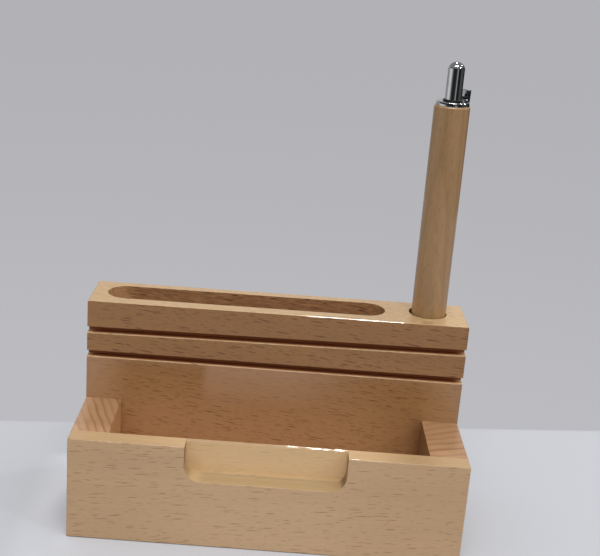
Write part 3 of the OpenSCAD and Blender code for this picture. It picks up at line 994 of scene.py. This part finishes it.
@dataclass
class Pen:
    """The push-button ball pen, built about the Z axis and then stood in its hole."""

    axis: Point = (48.45 * MM, 16.3 * MM)
    gap: float = 0.02 * MM
    radius: float = 5.5 * MM
    chamfer: Point = (0.35 * MM, 0.5 * MM)
    bore: float = 3.3 * MM
    foot: float = 28.0 * MM
    top: float = 133.5 * MM
    insert_radius: float = 4.22 * MM
    sleeve_radius: float = 4.12 * MM
    sleeve_foot: float = 99.5 * MM
    insert_top: float = 38.0 * MM
    ring_radius: float = 5.25 * MM
    ring_top: float = 134.7 * MM
    ring_draft: float = 0.13 * MM
    ring_edge: float = 0.35 * MM
    collar_radius: float = 3.0 * MM
    lip_radius: float = 3.5 * MM
    seat_radius: float = 4.45 * MM
    seat_height: float = 0.6 * MM
    button_radius: float = 2.6 * MM
    button_foot: float = 126.2 * MM
    button_top: float = 146.6 * MM
    dome: float = 1.9 * MM
    button_bore: float = 1.92 * MM
    button_wall: float = 0.7 * MM
    clip_width: float = 5.0 * MM
    clip_end: float = 3.0 * MM
    clip_thick: float = 0.6 * MM
    clip_rise: float = 3.8 * MM
    clip_length: float = 39.0 * MM
    clip_angle: float = math.radians(57.0)
    clip_clear: float = 0.3 * MM
    clip_bend: float = 0.85 * MM
    clip_lean: float = 0.5 * MM
    clip_bead: float = 0.65 * MM
    nose_foot: float = 8.0 * MM
    nose_radius: float = 5.3 * MM
    nose_tip: float = 2.2 * MM
    nose_bore: float = 1.3 * MM
    nose_bore_length: float = 5.0 * MM
    chamber: float = 2.45 * MM
    spigot: float = 3.4 * MM
    spigot_top: float = 37.0 * MM
    thread_pitch: float = 0.7 * MM
    thread_depth: float = 0.22 * MM
    wire: float = 0.2 * MM
    coil: float = 1.75 * MM
    coil_turns: int = 8
    spring_foot: float = 13.0 * MM
    spring_length: float = 17.0 * MM
    stroke: float = 6.0 * MM

    def complete(self, piece: Piece, finish: Material, node: str, slot: str, body: str = "pen",
                 turn: float = 0.0, angle: float = 38.0) -> None:
        """Moves a piece from the Z axis into the pen's place and completes it."""
        piece.location = (*self.axis, 0.0)
        piece.rotation_euler.z = turn
        Bench.settle(piece)
        Bench.complete(piece, finish, body, node, slot, angle)

    def barrel(self, finish: Material) -> None:
        """Turns the wooden barrel."""
        x, y = self.chamfer
        low, high, r = self.foot, self.top, self.radius
        piece = Bench.turned("pen_barrel_wood", [
            (self.insert_radius, low), (r - x, low), (r, low + y), (r, high - y), (r - x, high),
            (self.sleeve_radius, high), (self.sleeve_radius, self.sleeve_foot), (self.bore, self.sleeve_foot),
            (self.bore, self.insert_top), (self.insert_radius, self.insert_top)], closed=True)
        Bench.bevel(piece, 0.12 * MM, 3, lambda edge: Bench.sharp(edge, 25))
        self.complete(piece, finish, "pen_barrel", "pen_wood")

    def ring(self, finish: Material) -> None:
        """Turns the top ring and cuts the notch that lets the clip out."""
        gap, edge = self.gap, self.ring_edge
        bore = self.collar_radius + gap
        brim = self.ring_radius - self.ring_draft
        round_over = arc((brim - edge, self.ring_top - edge), edge, 0.0, math.pi / 2, 6)
        piece = Bench.turned("top_ring_metal", [
            (bore, self.top), (self.lip_radius, self.top),
            (self.lip_radius, self.top + self.seat_height), (self.seat_radius, self.top + self.seat_height),
            (self.seat_radius, self.top), (self.ring_radius, self.top), *round_over, (bore, self.ring_top)],
            closed=True)
        Bench.bevel(piece, 0.06 * MM, 3, lambda edge: Bench.sharp(edge, 30))
        notch = Bench.block("notch", (self.lip_radius + gap, -self.clip_width / 2 - gap, self.top - MM),
                            (self.ring_radius + MM, self.clip_width / 2 + gap, self.top + self.seat_height))
        notch.rotation_euler.z = self.clip_angle
        Bench.settle(notch)
        Bench.combine(piece, notch)
        self.complete(piece, finish, "top_ring", "chrome")

    def clip(self, finish: Material) -> None:
        """Bends the strip of the clip and joins it to the eye under the ring."""
        inner, outer = self.lip_radius + self.gap, self.seat_radius - self.gap
        foot, head = self.top, self.top + self.clip_thick
        eye = Bench.turned("clip_eye", [(inner, foot), (outer, foot), (outer, head), (inner, head)],
                           steps=64, closed=True)
        upright = self.ring_radius + self.clip_clear
        start = (self.lip_radius + self.seat_radius) / 2
        half = self.clip_width / 2
        strip = Bench.block("clip_strip", (start, -half, foot), (upright, half, head))
        clip_top = self.ring_top + self.clip_rise
        bend_z = clip_top - self.clip_bend
        end_z = clip_top - self.clip_length
        bpy.ops.object.mode_set(mode="EDIT")
        self.pull(strip, lambda face: face.normal.x > 0.9, (self.clip_thick, 0.0, 0.0))
        self.pull(strip, lambda face: face.normal.z > 0.9 and face.calc_center_median().x > upright,
                  (0.0, 0.0, bend_z - head))
        bpy.ops.mesh.spin(steps=12, angle=math.pi, axis=(0.0, 1.0, 0.0),
                          center=(upright + self.clip_bend, 0.0, bend_z))
        bpy.ops.mesh.extrude_region_move(
            TRANSFORM_OT_translate={"value": (-self.clip_lean, 0.0, end_z - bend_z)})
        bpy.ops.transform.resize(value=(1.0, self.clip_end / self.clip_width, 1.0))
        bpy.ops.mesh.spin(steps=10, angle=math.radians(200), axis=(0.0, 1.0, 0.0),
                          center=(self.radius + 0.1 * MM + self.clip_bead, 0.0, end_z))
        Bench.heal(strip)
        Bench.bevel(strip, 0.2 * MM, 4, Bench.sharp)
        Bench.combine(strip, eye, "UNION")
        strip.name = strip.data.name = "spring_clip_metal"
        self.complete(strip, finish, "spring_clip", "chrome", turn=self.clip_angle)

    @staticmethod
    def pull(piece: Piece, test: Callable[[bmesh.types.BMFace], bool], move: Triple) -> None:
        """Extrudes the faces that pass a test.

        Args:
            piece: The object, already in edit mode.
            test: Says whether a face is pulled.
            move: How far the faces are pulled.
        """
        bpy.ops.mesh.select_mode(type="FACE")
        bpy.ops.mesh.select_all(action="DESELECT")
        mesh = bmesh.from_edit_mesh(piece.data)
        mesh.normal_update()
        for face in mesh.faces:
            face.select_set(test(face))
        bmesh.update_edit_mesh(piece.data)
        bpy.ops.mesh.extrude_region_move(TRANSFORM_OT_translate={"value": move})

    def button(self, finish: Material) -> None:
        """Turns the push button with its rounded end."""
        shoulder = self.button_top - self.dome
        sphere = (self.button_radius ** 2 + self.dome ** 2) / (2 * self.dome)
        brow = math.acos(self.button_radius / sphere)
        rings = arc((0.0, self.button_top - sphere), sphere, brow, math.pi / 2, 12)
        piece = Bench.turned("push_button_metal", [
            (self.button_bore, shoulder - self.button_wall), (self.button_bore, self.button_foot),
            (self.button_radius - 0.2 * MM, self.button_foot),
            (self.button_radius, self.button_foot + 0.2 * MM), *rings])
        Bench.bevel(piece, 0.08 * MM, 2, lambda edge: all(abs(v.co.z - shoulder) < TOUCH for v in edge.verts))
        self.complete(piece, finish, "push_button", "chrome", body="button")

    def nose(self, finish: Material) -> None:
        """Turns the nose cone with its threaded spigot."""
        length = self.foot - self.nose_foot
        swell = self.nose_radius - self.nose_tip
        ogive = (swell ** 2 + length ** 2) / (2 * swell)
        steps = 16
        rings = [(self.nose_radius - ogive + math.sqrt(ogive ** 2 - (length * (1 - i / steps)) ** 2),
                  self.nose_foot + length * i / steps) for i in range(steps + 1)]
        thread = []
        root = self.spigot - self.thread_depth
        z = self.foot + 0.4 * MM
        while z + self.thread_pitch < self.spigot_top:
            thread += [(root, z), (self.spigot, z + 0.5 * self.thread_pitch)]
            z += self.thread_pitch
        piece = Bench.turned("nose_cone_metal", [
            (self.nose_bore, self.nose_foot), *rings, (root, self.foot), *thread,
            (self.spigot - 0.2 * MM, self.spigot_top), (self.chamber, self.spigot_top),
            (self.chamber, self.nose_foot + self.nose_bore_length),
            (self.nose_bore, self.nose_foot + self.nose_bore_length)], closed=True)
        Bench.bevel(piece, 0.1 * MM, 3, lambda edge: Bench.sharp(edge)
                    and all(v.co.z < self.foot - MM for v in edge.verts))
        self.complete(piece, finish, "nose_cone", "chrome", angle=30.0)

    def spring(self, finish: Material) -> None:
        """Winds the return spring."""
        Bench.clear()
        bpy.ops.mesh.primitive_circle_add(vertices=12, radius=self.wire, rotation=(math.pi / 2, 0.0, 0.0),
                                          location=(self.coil, 0.0, self.spring_foot + self.wire))
        piece = bpy.context.object
        piece.name = piece.data.name = "return_spring_wire"
        Bench.settle(piece)
        rise = (self.spring_length - 2 * self.wire) / self.coil_turns
        Bench.modify(piece, "SCREW", axis="Z", angle=2 * math.pi, steps=32, render_steps=32,
                     use_merge_vertices=False, iterations=self.coil_turns, screw_offset=rise)
        bpy.ops.object.mode_set(mode="EDIT")
        bpy.ops.mesh.select_all(action="SELECT")
        bpy.ops.mesh.fill_holes(sides=0)
        Bench.heal(piece)
        self.complete(piece, finish, "return_spring", "spring_steel")
        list(self.axis)
        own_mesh(piece)


@dataclass
class Studio:
    """Camera, floor, lamps and surroundings."""

    eye: Triple = (-1.846 * MM, -312.870 * MM, 182.746 * MM)
    tilt: Triple = (73.00342, -3.55271, 2.09883)
    focal: float = 1077.81
    centre: Point = (258.2, 252.2)
    image: tuple[int, int] = (600, 556)
    table: Colour = srgb(168, 170, 176)
    table_radius: float = 450.0 * MM
    table_bounce: float = 0.45
    edge_slope: float = 0.125
    edge_place: float = 60.2 * MM
    edge_blur: float = 2.0 * MM
    foot_light: float = 0.37
    foot_reach: tuple[Point, ...] = ((-60, -20), (60, 0.5), (-25, -35), (25, 5))
    wall: Colour = srgb(178, 178, 182)
    wall_foot: Colour = srgb(187, 187, 192)
    lamps: tuple[tuple[float, Point, Triple], ...] = (
        (14.0, (0.3, 0.22), (0.2, 1.16, 1.9)), (20.0, (1.2, 0.3), (0.02, -0.82, 1.9)),
        (12.0, (0.25, 0.25), (1.8, 0.99, 1.9)), (15.0, (0.25, 0.25), (2.1, -1.2, 1.9)))
    lamp_tint: Colour = (1.0, 0.985, 0.96)
    ceiling: Point = (1.05, 0.2)
    around: float = 0.2
    low_tones: tuple[Point, ...] = (
        (-180, 0.5), (-150, 0.4), (-126, 0.2), (-103, 0.36), (-88, 0.62), (-66, 0.56), (-52, 0.2),
        (-42, 0.04), (-23, 0.013), (3, 0.025), (12, 0.1), (16, 0.3), (22, 0.3), (27, 0.05), (36, 0.012),
        (56, 0.01), (63, 0.05), (84, 0.075), (106, 0.045), (125, 0.01), (142, 0.006), (160, 0.4), (180, 0.5))
    high_tones: tuple[Point, ...] = (
        (-180, 0.5), (-130, 0.35), (-108, 0.28), (-100, 0.03), (0, 0.02), (6, 0.02), (10, 0.1),
        (16, 0.1), (20, 0.02), (60, 0.04), (130, 0.03), (150, 0.3), (180, 0.5))

    def camera(self) -> None:
        """Places the camera at the photograph's view."""
        data = bpy.data.cameras.new("view")
        data.sensor_fit = "HORIZONTAL"
        data.sensor_width = 36.0
        data.lens = self.focal / self.image[0] * data.sensor_width
        data.shift_x = (self.image[0] / 2 - self.centre[0]) / self.image[0]
        data.shift_y = (self.centre[1] - self.image[1] / 2) / self.image[0]
        data.clip_start = 0.01
        camera = bpy.data.objects.new("view", data)
        camera.location = self.eye
        camera.rotation_euler = [math.radians(angle) for angle in self.tilt]
        bpy.context.collection.objects.link(camera)
        bpy.context.scene.camera = camera

    def floor(self) -> None:
        """Lays the pale floor, which is painted paler near the stand's foot and turns into the backdrop's
        tone behind the stand.
        """
        Bench.clear()
        bpy.ops.mesh.primitive_circle_add(vertices=96, radius=self.table_radius, fill_type="NGON")
        floor = bpy.context.object
        floor.name = "floor"
        graph, surface, material = Finish("floor").start()
        surface.inputs["Roughness"].default_value = 0.55
        place = graph.node("ShaderNodeTexCoord").outputs["Object"]
        grain = graph.noise(graph.vector("MULTIPLY", place, (400.0, 400.0, 400.0)), 1.0, 3.0)
        path = graph.node("ShaderNodeLightPath").outputs
        shade = graph.math("MULTIPLY_ADD", path["Is Diffuse Ray"], self.table_bounce - 1.0,
                           graph.math("MULTIPLY_ADD", grain, 0.03, 0.985))
        x, y, _ = graph.split(place)
        # Painted light: the floor is painted paler near the stand's left and front, over the stand's shadow.
        shade = graph.math("MULTIPLY", shade, self.foot(graph, x, y))
        tone = graph.mix(1.0, self.table, graph.join(shade, shade, shade), "MULTIPLY")
        graph.put(tone, surface.inputs["Base Color"])
        behind = graph.math("SUBTRACT", y, graph.math("MULTIPLY_ADD", x, self.edge_slope, self.edge_place))
        seen = graph.math("MAXIMUM", path["Is Camera Ray"],
                          graph.math("MAXIMUM", path["Is Glossy Ray"], path["Is Transmission Ray"]))
        share = graph.math("MULTIPLY", graph.ease(behind, 0.0, self.edge_blur), seen)
        backdrop = graph.node("ShaderNodeEmission")
        sight = graph.vector("NORMALIZE", graph.vector("SUBTRACT", place, self.eye))
        graph.put(self.backdrop(graph, graph.split(sight)[2]), backdrop.inputs["Color"])
        mixed = graph.feed("ShaderNodeMixShader", (share, surface.outputs[0], backdrop.outputs[0]))
        graph.put(mixed[0], graph.tree.nodes["Material Output"].inputs["Surface"])
        floor.data.materials.append(material)

    def foot(self, graph: Graph, x: Socket, y: Socket) -> Socket:
        """Gives how much paler the floor is painted near the stand's left and front: painted light over the
        half shadow there.

        Args:
            graph: The floor's graph.
            x: Place across the floor.
            y: Place along the floor.

        Returns:
            A factor for the floor's tone.
        """
        left, right, front, back = (
            graph.math("MAXIMUM", graph.math("MULTIPLY_ADD", value, 1 / (reach * MM), -start / reach), 0.0)
            for value, (start, reach) in zip((x, x, y, y), self.foot_reach))
        away = graph.join(graph.math("ADD", left, right), graph.math("ADD", front, back), 0.0)
        return graph.ease(graph.vector("LENGTH", away), 0.0, 1.0, 1.0 + self.foot_light, 1.0)

    def backdrop(self, graph: Graph, height: Socket) -> Socket:
        """Gives the backdrop's tone, which is paler towards the table.

        Args:
            graph: The graph that receives the nodes.
            height: Upward part of the line from the photograph's viewpoint.

        Returns:
            The tone.
        """
        return graph.mix(graph.ease(height, -0.45, -0.1), self.wall_foot, self.wall)

    def light(self) -> None:
        """Hangs four lamps and sets the room's soft light."""
        for number, (power, size, place) in enumerate(self.lamps):
            data = bpy.data.lights.new(f"lamp_{number}", "AREA")
            data.shape = "ELLIPSE"
            data.size, data.size_y = size
            data.energy = power
            data.color = self.lamp_tint
            lamp = bpy.data.objects.new(f"lamp_{number}", data)
            lamp.location = place
            bpy.context.collection.objects.link(lamp)
        world = bpy.data.worlds.new("room")
        bpy.context.scene.world = world
        world.use_nodes = True
        graph = Graph(world.node_tree)
        background = world.node_tree.nodes["Background"]
        x, y, z = graph.split(graph.node("ShaderNodeTexCoord").outputs["Generated"])
        turn = graph.math("ARCTAN2", x, graph.math("MULTIPLY", y, -1.0))
        low, high = (self.tones(graph, turn, tones) for tones in (self.low_tones, self.high_tones))
        bright, dim = self.ceiling
        above = graph.ease(z, 0.3, 0.55)
        mirrored = graph.mix(above, graph.mix(graph.ease(z, -0.01, 0.03), low, high), (dim,) * 3)
        soft = graph.mix(above, (self.around,) * 3, (bright,) * 3)
        path = graph.node("ShaderNodeLightPath").outputs
        room = graph.mix(path["Is Diffuse Ray"], mirrored, soft)
        graph.put(graph.mix(path["Is Camera Ray"], room, self.backdrop(graph, z)), background.inputs["Color"])

    @staticmethod
    def tones(graph: Graph, turn: Socket, stops: Sequence[Point]) -> Socket:
        """Makes what polished metal mirrors of the room at one height.

        Args:
            graph: The world's graph.
            turn: Angle round the stand in radians, 0 in front and positive to the right.
            stops: Angle in degrees and brightness of each place, in order.

        Returns:
            The grey tone.
        """
        ramp = graph.node("ShaderNodeValToRGB")
        graph.put(graph.math("MULTIPLY_ADD", turn, 1 / (2 * math.pi), 0.5), ramp.inputs[0])
        elements = ramp.color_ramp.elements
        while len(elements) < len(stops):
            elements.new(0.5)
        for element, (degrees, level) in zip(elements, stops):
            element.position = degrees / 360 + 0.5
            element.color = (level, level, level, 1.0)
        return ramp.outputs[0]


def finishes() -> dict[str, Material]:
    """Builds every finish once.

    Returns:
        The materials by name.
    """
    fleck = srgb(128, 76, 40)
    sawn = {"coat": 0.0, "roughness": 0.7}
    block_grain = {"offset": (0.31, 0.07, 0.02), "slope": -0.1}
    side_tones = (srgb(175, 137, 98), srgb(165, 127, 90), srgb(170, 130, 92), srgb(112, 70, 40))
    # How far back a patch reaches in millimetres: over the rear block's front face alone, or over everything
    face, whole = 5.2, 30
    panel_patch = Patch((-48, -8, 8, 48), (-2, -1, 34, 35), 0, srgb(228, 191, 151), 0.4)
    # Painted light on the recess's left wall and corner, which face the lamps.
    recess_wall_light = Patch((-28, -27, -22, -18), (15, 16, 25, 29), 0, srgb(205, 172, 128), 0.5, True)
    block_tones_and_painted_light = (
        # Painted light: the face below the kerfs is painted paler, standing in for the light that the tray
        # bounces onto it.
        Patch((-63, -35, 25, 53), (-2, -1, 22, 50), face, srgb(197, 153, 109), 0.72),
        Patch((-56, -40, 45, 61), (-2, -1, 28, 46), face, srgb(174, 130, 88), 0.36, True),
        # Painted sheen: pale reflections in the lacquer on the face below the kerfs, in its middle and at
        # both ends.
        Patch((-23.6, -20.2, 2, 34), (30, 42, 48, 49), face, srgb(190, 150, 118), 0.55, True),
        Patch((-62, -61, -57, -44), (26, 34, 48, 49), face, srgb(200, 160, 126), 0.4, True),
        Patch((45, 57, 61, 62), (26, 34, 48, 49), face, srgb(196, 158, 122), 0.3, True),
        # Painted shade in the tray's right corner, beside the right side block.
        Patch((43.5, 48, 49, 50), (4, 5, 29, 37), face, srgb(96, 52, 32), 0.3, True),
        Patch((36, 54, 61, 62), (65.6, 66, 67, 68), whole, srgb(205, 174, 130), 0.35),
        Patch((44.5, 46, 48, 50), (65.9, 66, 67, 68), 8, srgb(120, 80, 46), 0.35, True))
    # Painted light on the slot's left end, which faces the lamps.
    slot_end_light = Patch((-58, -57, -53, -46), (30, 46, 65.9, 66.5), whole, srgb(224, 178, 130), 0.36)
    # Painted light on the left block's inner wall, and a painted pale sheen on the left end of its top.
    left_painted_light = (
        Patch((-48.7, -48.55, 40, 41), (-1, 0, 32.6, 32.9), whole, srgb(230, 180, 128), 0.8, True),
        Patch((-62, -61, -59.5, -55), (32.8, 32.9, 35, 36), whole, srgb(186, 148, 118), 0.5, True))
    # Painted shade on the right block's inner wall, beside the tray.
    right_wall_shade = Patch((40, 41, 48.55, 48.7), (-1, 0, 32.6, 32.9), whole, srgb(112, 72, 44), 0.5, True)
    made = [
        WoodFinish("panel_wood", srgb(210, 173, 132), srgb(205, 168, 128), srgb(162, 133, 94), fleck,
                   slope=0.05, fleck_strength=0.64, fleck_share=0.42, pore_strength=0.08,
                   patches=(panel_patch,)),
        WoodFinish("panel_rim", srgb(216, 179, 138), srgb(211, 174, 134), srgb(150, 120, 84), fleck,
                   slope=0.05, coat=1.0, coat_roughness=0.05, beads=0.5),
        WoodFinish("panel_cut", srgb(233, 196, 148), srgb(228, 190, 142), srgb(162, 137, 98),
                   srgb(96, 66, 42), fleck_strength=0.25, fleck_share=0.35, offset=(0.04, 0.02, 0.01),
                   slope=0.05, end_shade=0.4, pore_strength=0.06, patches=(recess_wall_light,), **sawn),
        WoodFinish("block_wood", srgb(162, 117, 71), srgb(157, 112, 67), srgb(174, 144, 105),
                   srgb(84, 40, 16), fleck_strength=0.95, fleck_share=0.52, pore_strength=0.26,
                   patches=block_tones_and_painted_light, **block_grain),
        WoodFinish("slot_wood", srgb(170, 125, 82), srgb(141, 98, 62), srgb(155, 116, 78),
                   srgb(74, 40, 20), mottle_size=(4.5, 0.5, 0.5), fleck_strength=1.0, fleck_share=0.8,
                   pore_strength=0.22, end_shade=1.0, patches=(slot_end_light,), **block_grain, **sawn),
        WoodFinish("block_rim", srgb(162, 117, 73), srgb(157, 112, 69), srgb(174, 144, 105),
                   srgb(100, 50, 22), coat_roughness=0.05, beads=0.42, **block_grain),
        WoodFinish("kerf_wood", srgb(162, 117, 73), srgb(157, 112, 69), srgb(190, 152, 108),
                   srgb(88, 48, 24), kerf_scorch_and_shade=(5.35 * MM, 0.6 * MM, 60.0 * MM), **block_grain, **sawn),
        WoodFinish("left_wood", *side_tones, grain=Grain.UPRIGHT, offset=(0.1, 0.0, 0.0),
                   pith=(0.0, 58.2, -134.9), ring_width=2.45, end_rings=0.5, patches=left_painted_light),
        WoodFinish("right_wood", *side_tones, grain=Grain.UPRIGHT, offset=(0.2, 0.0, 0.0),
                   pith=(0.0, 68.0, -26.0), ring_width=3.4, patches=(right_wall_shade,)),
        WoodFinish("floor_wood", srgb(212, 176, 138), srgb(204, 168, 130), srgb(205, 168, 120), fleck,
                   offset=(0.6, 0.1, 0.05)),
        WoodFinish("pen_wood", srgb(188, 151, 107), srgb(150, 116, 77), srgb(172, 135, 93),
                   srgb(104, 72, 42), grain=Grain.UPRIGHT, mottle_size=(60.0, 3.0, 3.0),
                   fleck_strength=0.2, fleck_share=0.3, fibre_strength=0.3, offset=(0.45, 0.0, 0.0),
                   slope=0.04, pith=(0.0, 33.0, -53.0), ring_width=1.9, ring_strength=0.2),
        MetalFinish("chrome", (0.80, 0.81, 0.83), 0.05),
        MetalFinish("brass", (0.75, 0.56, 0.26), 0.18),
        MetalFinish("spring_steel", (0.62, 0.63, 0.65), 0.2, smudge_size=1.0),
        PlasticFinish("white_plastic", srgb(236, 235, 229), 0.38, through=0.3),
        PlasticFinish("black_plastic", srgb(22, 21, 21), 0.42),
        PlasticFinish("refill_plastic", srgb(40, 52, 120), 0.25),
    ]
    return {finish.name: finish.material() for finish in made}


def dress_inner_pieces(materials: dict[str, Material]) -> None:
    """Gives the CAD nodes inside the pen their materials."""
    # The guide sleeve's top shows as a collar at the button's foot; its black plastic also stands in for the
    # shade in the gap there.
    chosen = {"nose_insert": "brass", "guide_sleeve": "black_plastic", "plunger_cam": "white_plastic",
              "rotor_cam": "white_plastic", "refill_tube": "refill_plastic", "refill_tip": "brass",
              "tip_ball": "spring_steel"}
    for node, name in chosen.items():
        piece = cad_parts[node]
        piece.data.materials.clear()
        piece.data.materials.append(materials[name])


def main() -> None:
    """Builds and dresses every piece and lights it."""
    logging.basicConfig(level=logging.INFO, format="%(name)s %(message)s")
    bpy.context.scene.view_settings.view_transform = "Standard"
    materials = finishes()
    studio = Studio()
    studio.camera()
    rear = RearBlock()
    rear_names = ("block_wood", "kerf_wood", "block_rim", "slot_wood")
    rear.dress(rear.build(), [materials[name] for name in rear_names])
    panel = FrontPanel()
    panel_names = ("panel_wood", "panel_cut", "panel_rim")
    panel.dress(panel.build(), [materials[name] for name in panel_names])
    tray = Tray()
    tray.side("left_side_block", "+x", materials["left_wood"])
    tray.side("right_side_block", "-x", materials["right_wood"])
    tray.floor(materials["floor_wood"])
    pen = Pen()
    pen.barrel(materials["pen_wood"])
    for make in (pen.ring, pen.clip, pen.button, pen.nose):
        make(materials["chrome"])
    pen.spring(materials["spring_steel"])
    dress_inner_pieces(materials)
    studio.floor()
    studio.light()
    Bench.clear()


if __name__ == "__main__":
    main()
